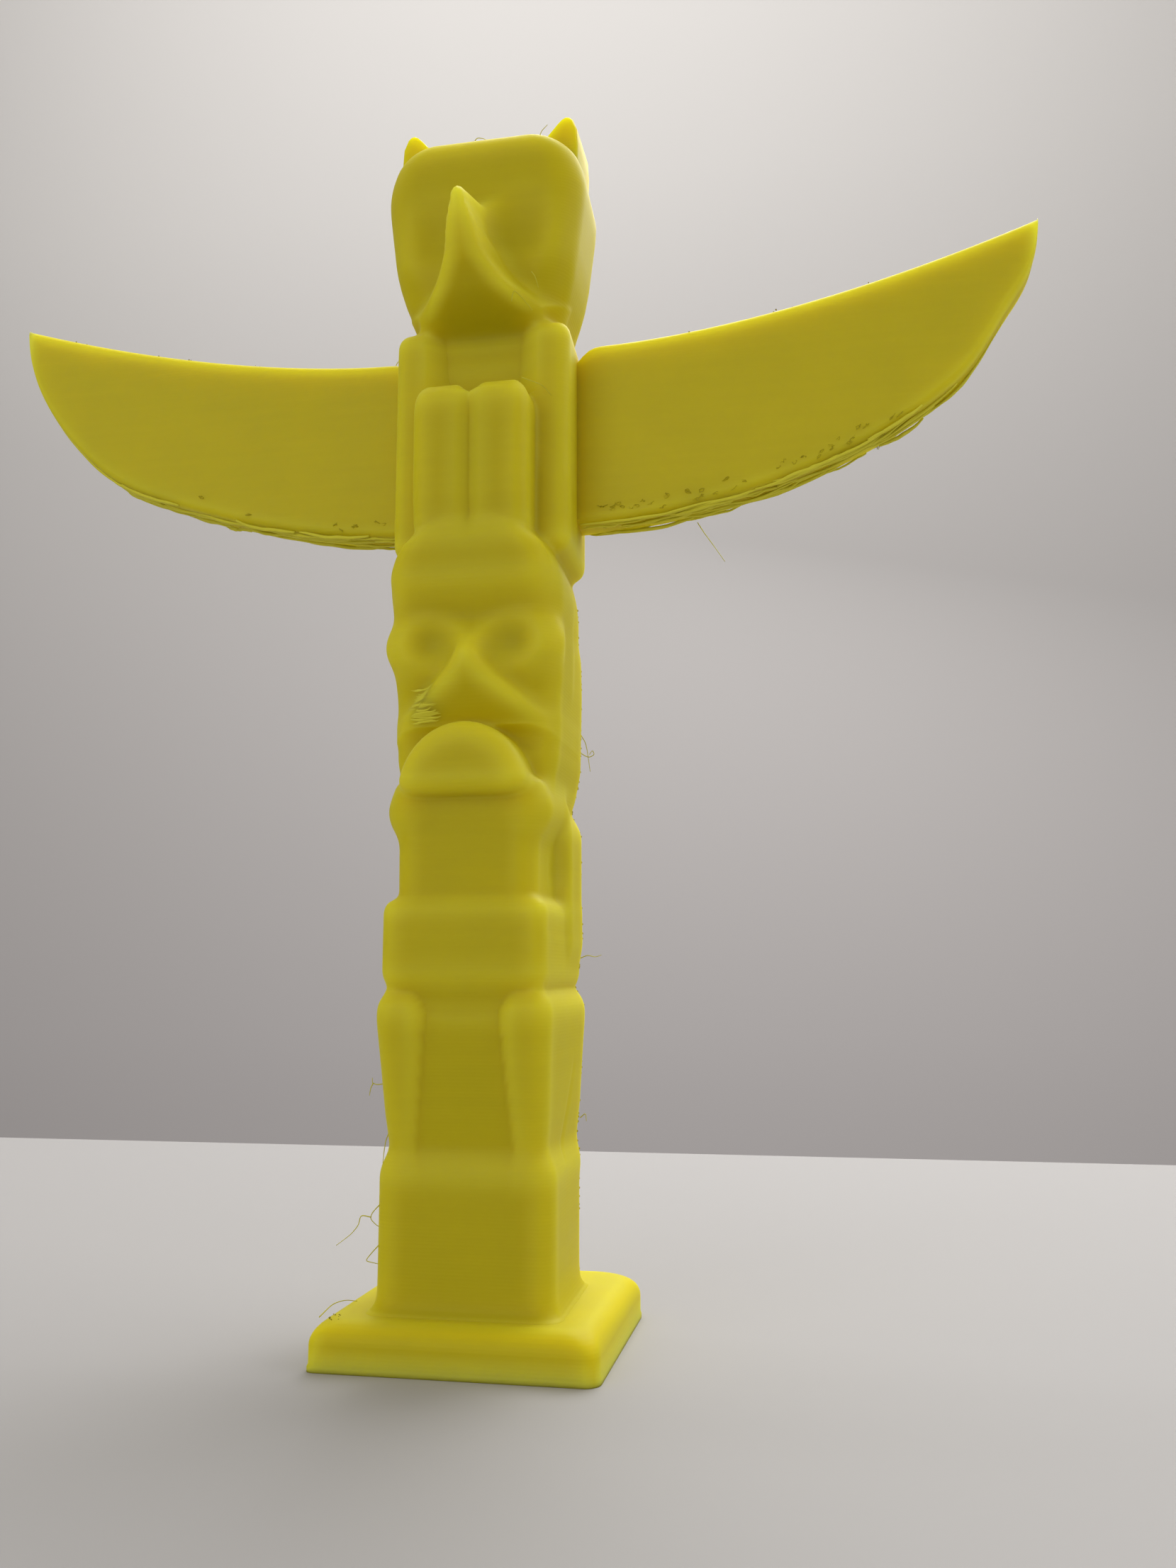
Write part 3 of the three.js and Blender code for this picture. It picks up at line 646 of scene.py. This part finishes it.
def makeStrands():
    # threads that drooped under the wings: each follows the lower edge and hangs in an arc,
    # z = low - sag (4t - 4t^2)
    s = strandLook
    rng = np.random.default_rng(s["seed"])
    count = s["count"] // 1
    side = np.where(np.arange(count) % 2 == 0, 1, -1)[:, None]
    share = np.linspace(0, 1, s["steps"])[None, :]
    begin = 5.6 + 21 * rng.uniform(0, 1, (count, 1))**1.4
    length = rng.uniform(*s["length"], (count, 1))
    x = begin + length * share
    y = rng.uniform(-0.45, 1.7, (count, 1)) + wander(rng, count, s["steps"], 0.08)
    y = np.clip(y, -0.5, 1.75)
    sag = rng.uniform(*s["sag"], (count, 1)) * np.where(side > 0, 1.15, 0.75)
    droop = sag * (4 * share - 4 * share**2)
    z = wingLow(x, side) + 0.04 - droop + wander(rng, count, s["steps"], 0.035)
    radii = rng.uniform(*s["radius"], (count, 1)) * np.sin(math.pi * np.clip(share, 0.06, 0.94))**0.3
    attach(makeTubes("drooped_strands", np.stack([side * x, y, z], -1), radii), thin=0.7)


curlLook = {"count": 60, "steps": 12, "size": 0.13, "radius": 0.027, "seed": 11}


def makeCurls():
    # little dark curls along the lower edges of the wings: short wandering arcs pressed to the face
    c = curlLook
    rng = np.random.default_rng(c["seed"])
    count = c["count"] // 1
    side = np.where(rng.uniform(0, 1, (count, 1)) < 0.72, 1, -1)
    share = np.linspace(0, 1, c["steps"])[None, :]
    x = 6.6 + 19 * rng.uniform(0, 1, (count, 1)) + wander(rng, count, c["steps"], c["size"])
    rise = rng.uniform(-0.05, 1.1, (count, 1))
    under = rise < 0.25
    y = np.where(under, rng.uniform(-0.3, 1.7, (count, 1)), wingLook["front"] - 0.01)
    y = y + np.abs(wander(rng, count, c["steps"], 0.05)) * np.where(under, 1, -1)
    z = wingLow(x, side) + rise + wander(rng, count, c["steps"], 0.6 * c["size"])
    taper = np.sin(math.pi * np.clip(share, 0.1, 0.9))**0.5
    radii = c["radius"] * (0.5 + rng.uniform(0, 0.9, (count, 1))) * taper
    attach(makeTubes("curls", np.stack([side * x, y, z], -1), radii), dust=0.25)


def bendThrough(*points, steps=28):
    # a soft line through a few points: straight runs averaged along their length
    corners = np.array(points, float)
    share = np.linspace(0, len(corners) - 1, steps)
    fade = np.clip(np.minimum(share, share[::-1]) / 0.3, 0, 1)
    reach = np.array([-0.3, -0.15, 0, 0.15, 0.3])[:, None] * fade
    lines = [np.interp(share + reach, np.arange(len(corners)), corners[:, k]).mean(axis=0) for k in range(3)]
    return np.stack(lines, -1)


hairLook = {"radius": 0.028, "steps": 28}


def makeHairs():
    # stray threads pulled out by the nozzle, each fixed to the print at one end or at both
    paths = [
        bendThrough((-4.9, -5.2, 8.5), (-5.4, -5.4, 7.95), (-5.5, -5.4, 7.6), (-5.15, -5.2, 7.2),
                    (-4.9, -5.0, 7.1)),
        bendThrough((-4.95, -5.2, 6.25), (-5.35, -5.4, 5.8), (-5.7, -5.5, 5.35), (-5.3, -5.4, 5.25),
                    (-4.9, -5.1, 5.1)),
        bendThrough((-5.45, -5.4, 7.7), (-6.0, -5.6, 7.85), (-6.1, -5.6, 7.3), (-6.5, -5.7, 6.8),
                    (-7.3, -5.9, 6.2)),
        bendThrough((-4.8, -5.0, 15.1), (-5.3, -5.2, 15.0), (-5.6, -5.3, 15.1), (-5.6, -5.3, 15.4)),
        bendThrough((-5.55, -5.3, 15.1), (-5.7, -5.3, 14.8), (-5.75, -5.3, 14.4)),
        bendThrough((-4.55, -5.2, 12.4), (-4.75, -5.2, 11.9), (-4.85, -5.2, 11.2), (-4.95, -5.1, 10.3)),
        bendThrough((-7.9, -6.6, 2.5), (-7.6, -5.4, 2.95), (-7.3, -4.2, 2.9), (-7.0, -3.0, 2.55)),
        bendThrough((4.9, 3.2, 22.3), (5.4, 3.1, 22.5), (5.9, 3.0, 22.35), (6.3, 3.0, 22.5)),
        bendThrough((4.9, 3.2, 12.5), (5.25, 3.1, 12.8), (5.3, 3.1, 12.3)),
        bendThrough((5.0, 3.0, 35.4), (5.5, 3.0, 35.1), (5.9, 3.0, 35.3), (5.75, 3.0, 35.6),
                    (5.55, 3.0, 35.3)),
        bendThrough((5.0, 3.0, 36.6), (5.35, 3.0, 36.0), (5.6, 3.0, 34.2)),
        bendThrough((3.55, -5.3, 64.3), (3.85, -5.6, 63.8), (4.0, -5.3, 63.2)),
        bendThrough((2.5, -6.1, 62.0), (2.7, -6.4, 62.6), (3.1, -6.0, 62.3), (3.6, -5.2, 61.8)),
        bendThrough((3.2, -6.3, 56.9), (3.8, -6.1, 56.7), (4.3, -5.2, 56.8), (4.6, -4.2, 56.6)),
        bendThrough((-4.3, -2.0, 74.9), (-4.0, -2.2, 75.5), (-3.6, -2.3, 75.6)),
        bendThrough((-1.0, -3.0, 75.0), (-0.7, -3.2, 75.4), (-0.2, -3.2, 75.3), (0.2, -3.0, 75.0)),
        bendThrough((3.2, -2.2, 74.8), (3.4, -2.4, 75.8), (3.9, -2.5, 76.2)),
        bendThrough((12.9, 1.6, 49.9), (13.3, 1.6, 49.2), (13.9, 1.6, 48.3), (14.6, 1.6, 47.2)),
        bendThrough((-7.2, 0.2, 61.6), (-7.0, 0.2, 62.1), (-6.6, 0.2, 62.3)),
    ]
    paths = np.array(paths)
    share = np.linspace(0, 1, hairLook["steps"])[None, :]
    radii = hairLook["radius"] * (1.25 - 0.6 * share) * np.ones((len(paths), 1))
    attach(makeTubes("stray_hairs", paths, radii, sides=5), dust=0.2, thin=0.8)


seamLook = {"count": 85, "low": 3.5, "high": 46, "turn": 0.72, "radius": (0.035, 0.085), "seed": 3}


def makeSeam():
    # the row of small lumps where each printed layer began, down one rear edge of the pole
    s = seamLook
    rng = np.random.default_rng(s["seed"])
    height = np.sort(rng.uniform(s["low"], s["high"], s["count"]))
    angle = s["turn"] + rng.normal(0, 0.012, s["count"])
    direction = (np.cos(angle), np.sin(angle), 0 * angle)
    far = castRays((0.0, innerLine, height), direction)
    centres = np.stack([direction[0] * far, innerLine + direction[1] * far, height], -1)
    attach(makeBlobs("seam_dots", centres, rng.uniform(*s["radius"], s["count"])), dust=0.35)


speckLook = {"count": 46, "cornerCount": 14, "radius": (0.025, 0.06), "seed": 8}


def makeSpecks():
    # dark grains on the upper wing edges, the slab's worn corner and the fronts
    s = speckLook
    rng = np.random.default_rng(s["seed"])
    side = rng.choice([-1, 1], s["count"])
    x = rng.uniform(7.5, 31, s["count"])
    edge = np.stack([side * x, rng.uniform(-0.5, 0.6, s["count"]), wingTop(x, side) - 0.01], -1)
    ranges = ((-7.3, -6.5), (-7.1, -6.0), (2.52, 2.58))
    corner = np.stack([rng.uniform(low, high, s["cornerCount"]) for low, high in ranges], -1)
    centres = np.concatenate([edge, corner])
    attach(makeBlobs("specks", centres, rng.uniform(*s["radius"], len(centres))), dust=0.7)


frayLook = {"count": 34, "steps": 18, "radius": 0.14, "seed": 21}


def makeFray():
    # threads that sagged under the left side of the snout, each a shallow arc from the cheek to the snout
    f = frayLook
    rng = np.random.default_rng(f["seed"])
    share = np.linspace(0, 1, f["steps"])[None, :]
    height = rng.uniform(36.4, 38.4, (f["count"], 1))
    angle = math.pi * (1.22 + 0.17 * share) + rng.normal(0, 0.03, (f["count"], 1))
    direction = (np.cos(angle), np.sin(angle), 0 * angle)
    z = height - 0.25 * (4 * share - 4 * share**2) + wander(rng, f["count"], f["steps"], 0.05)
    far = castRays((0.0, innerLine, z), direction) - 0.125
    paths = np.stack([direction[0] * far, innerLine + direction[1] * far, z], -1)
    radii = f["radius"] * np.sin(math.pi * np.clip(share, 0.08, 0.92))**0.4 * np.ones((f["count"], 1))
    attach(makeTubes("frayed_threads", paths, radii), thin=0.7)


for makeDetail in (makeStrands, makeCurls, makeHairs, makeSeam, makeSpecks, makeFray):
    makeDetail()
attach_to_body(figurine, "root")
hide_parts(poleName)
print("loose threads and specks:", sum(len(piece.data.polygons) for piece in pieces[1:]), "faces")


class Wire:  # a shader socket that can stand in an expression

    def __init__(self, tree, socket):
        self.tree, self.socket = tree, socket

    def apply(self, operation, *others, clamp=False):
        settings = {"operation": operation, "use_clamp": clamp}
        return addNode(self.tree, "ShaderNodeMath", settings, dict(enumerate((self,) + others)))

    def __add__(self, other):
        return self.apply("ADD", other)

    def __sub__(self, other):
        return self.apply("SUBTRACT", other)

    def __rsub__(self, other):
        return self * -1 + other

    def __mul__(self, other):
        return self.apply("MULTIPLY", other)

    def __truediv__(self, other):
        return self.apply("DIVIDE", other)

    __radd__ = __add__
    __rmul__ = __mul__


def addNode(tree, kind, settings=None, inputs=None, output=0):
    node = tree.nodes.new(kind)
    for key, value in (settings or {}).items():
        setattr(node, key, value)
    for key, value in (inputs or {}).items():
        if isinstance(value, Wire):
            tree.links.new(value.socket, node.inputs[key])
        else:
            node.inputs[key].default_value = value
    return Wire(tree, node.outputs[output])


def newMaterial(name):
    material = bpy.data.materials.new(name)
    material.use_nodes = True
    tree = material.node_tree
    return material, tree, tree.nodes["Principled BSDF"]


def mixColours(tree, amount, first, second, kind="MIX"):
    settings = {"data_type": "RGBA", "blend_type": kind, "clamp_factor": True}
    return addNode(tree, "ShaderNodeMix", settings, {0: amount, 6: first, 7: second}, 2)


plasticLook = {
    "front": (0.52, 0.44, 0.005, 1),  # plain faces
    "hollow": (0.61, 0.495, 0.005, 1),  # painted light in recesses: brighter and more orange, standing in for the light the plastic carries into them
    "edge": (0.68, 0.63, 0.045, 1),  # thin edges that the light comes through
    "dust": (0.17, 0.14, 0.035, 1),  # specks and dark curls
    "layer": 0.0002,  # metres, the printer's layer height
    "roughness": 0.55,
    "shine": 0.16,
    "glow": 0.9,  # share of light that passes under the surface
    "glowDepth": 0.0035,
}


def plastic(name, glow):
    p = plasticLook
    material, tree, shader = newMaterial(name)
    place = addNode(tree, "ShaderNodeTexCoord", output=3)
    def noise(scale, detail, stretch=(1, 1, 1)):
        spot = addNode(tree, "ShaderNodeMapping", None, {"Vector": place, "Scale": stretch})
        return addNode(tree, "ShaderNodeTexNoise", None, {"Vector": spot, "Scale": scale, "Detail": detail})
    def painted(name):
        return addNode(tree, "ShaderNodeAttribute", {"attribute_name": name}, output=2)
    cloud = noise(260, 3)
    layers = noise(120, 2, (1, 1, 18))
    colour = mixColours(tree, painted("thin").apply("MULTIPLY", 1.4, clamp=True), p["front"], p["edge"])
    # painted light: the more closed in a place is, the more it takes the brighter, more orange recess colour
    colour = mixColours(tree, painted("hollow").apply("MULTIPLY", 1.1, clamp=True), colour, p["hollow"])
    colour = mixColours(tree, painted("dust"), colour, p["dust"])
    tint = 0.93 + 0.09 * cloud + 0.06 * layers
    grey = addNode(tree, "ShaderNodeCombineColor", None, {0: tint, 1: tint, 2: tint})
    colour = mixColours(tree, 1.0, colour, grey, "MULTIPLY")
    tree.links.new(colour.socket, shader.inputs["Base Color"])
    roughness = p["roughness"] + 0.16 * (cloud - 0.5)
    tree.links.new(roughness.socket, shader.inputs["Roughness"])
    level = addNode(tree, "ShaderNodeSeparateXYZ", None, {0: place}, 2)
    wave = (level * (2 * math.pi / p["layer"])).apply("SINE")
    height = 0.35 * wave * layers + 0.8 * noise(900, 2)
    bump = addNode(tree, "ShaderNodeBump", None, {"Height": height, "Strength": 0.25, "Distance": 0.00003})
    tree.links.new(bump.socket, shader.inputs["Normal"])
    shader.inputs["Subsurface Weight"].default_value = glow
    shader.inputs["Subsurface Radius"].default_value = (1.0, 0.9, 0.1)
    shader.inputs["Subsurface Scale"].default_value = p["glowDepth"]
    shader.inputs["Specular IOR Level"].default_value = p["shine"]
    shader.inputs["IOR"].default_value = 1.46
    return material


figurine.data.materials.clear()
figurine.data.materials.append(plastic("yellow_print", plasticLook["glow"]))
threadPaint = plastic("yellow_thread", 0)
for piece in pieces[1:]:
    piece.data.materials.append(threadPaint)
print("plastic ready")

# the wall carries painted light: its colour runs from a shaded foot to a lighter top between two heights
stageLook = {
    "tableBack": 84, "wallBack": 420, "table": (0.375, 0.361, 0.351, 1),
    "wallShadeLow": (0.41, 0.385, 0.38, 1), "wallLightHigh": (0.5, 0.48, 0.46, 1), "wallLightSpan": (-0.02, 0.36),
}


def stagePlane(name, corners, colour=None):
    mesh = bpy.data.meshes.new(name)
    mesh.from_pydata([tuple(v * millimetre for v in corner) for corner in corners], [], [(0, 1, 2, 3)])
    piece = bpy.data.objects.new(name, mesh)
    bpy.context.scene.collection.objects.link(piece)
    material, tree, shader = newMaterial(name + "_paint")
    shader.inputs["Roughness"].default_value = 0.7
    if colour:
        shader.inputs["Base Color"].default_value = colour
    else:
        # painted light on the wall: lighter with height, darker towards the foot
        s = stageLook
        place = addNode(tree, "ShaderNodeTexCoord", output=3)
        level = addNode(tree, "ShaderNodeSeparateXYZ", None, {0: place}, 2)
        low, high = s["wallLightSpan"]
        share = ((level - low) / (high - low)).apply("ADD", 0, clamp=True)
        shade = mixColours(tree, share, s["wallShadeLow"], s["wallLightHigh"])
        tree.links.new(shade.socket, shader.inputs["Base Color"])
    mesh.materials.append(material)
    return piece


backY, wallY, wide = stageLook["tableBack"], stageLook["wallBack"], 1500
tableCorners = [(-wide, -700, 0), (wide, -700, 0), (wide, backY, 0), (-wide, backY, 0)]
stagePlane("table", tableCorners, stageLook["table"])
stagePlane("wall", [(-wide, wallY, 1500), (wide, wallY, 1500), (wide, wallY, -800), (-wide, wallY, -800)])

lightLook = {
    "sky": {"place": (60, 190, 330), "aim": (0, 0, 40), "size": 300, "power": 1.38},
    "side": {"place": (320, -20, 170), "aim": (0, 0, 40), "size": 200, "power": 0.27},
    "front": {"place": (-120, -320, 120), "aim": (0, 0, 40), "size": 260, "power": 0.33},
    "wall": {"place": (-90, 110, 560), "aim": (-90, 420, 440), "size": 500, "power": 2.25},
}
roomLook = {"colour": (1.0, 0.975, 0.955, 1), "strength": 0.42}


def areaLight(name, place, aim, size, power):
    light = bpy.data.lights.new(name, "AREA")
    light.size = size * millimetre
    light.energy = power
    lamp = bpy.data.objects.new(name, light)
    bpy.context.scene.collection.objects.link(lamp)
    lamp.location = Vector(place) * millimetre
    lamp.rotation_euler = (Vector(aim) * millimetre - lamp.location).to_track_quat("-Z", "Y").to_euler()


for name, look in lightLook.items():
    areaLight(name, **look)
world = bpy.data.worlds.new("room")
world.use_nodes = True
world.node_tree.nodes["Background"].inputs["Color"].default_value = roomLook["colour"]
world.node_tree.nodes["Background"].inputs["Strength"].default_value = roomLook["strength"]
bpy.context.scene.world = world
bpy.context.scene.view_settings.view_transform = "Standard"

cameraLook = {
    "place": (21.022, -77.437, 20.933), "yaw": -10.952, "pitch": 8.648, "roll": -0.0985, "viewAngle": 62.6,
}


def makeCamera():
    c = cameraLook
    yaw, pitch, roll = (math.radians(c[k]) for k in ("yaw", "pitch", "roll"))
    forward = Vector((math.sin(yaw) * math.cos(pitch), math.cos(yaw) * math.cos(pitch), math.sin(pitch)))
    level = Vector((math.cos(yaw), -math.sin(yaw), 0))
    upright = level.cross(forward)
    right = math.cos(roll) * level + math.sin(roll) * upright
    up = math.cos(roll) * upright - math.sin(roll) * level
    lens = bpy.data.cameras.new("camera")
    lens.sensor_fit = "VERTICAL"
    lens.sensor_height = 24
    lens.lens = lens.sensor_height / 2 / math.tan(math.radians(c["viewAngle"]) / 2)
    lens.clip_start, lens.clip_end = 0.001, 20
    camera = bpy.data.objects.new("camera", lens)
    bpy.context.scene.collection.objects.link(camera)
    place = Vector(c["place"]) * millimetre
    rows = [(right[i], up[i], -forward[i], place[i]) for i in range(3)]
    camera.matrix_world = Matrix(rows + [(0, 0, 0, 1)])
    bpy.context.scene.camera = camera


makeCamera()

print("stage, lights and camera ready")
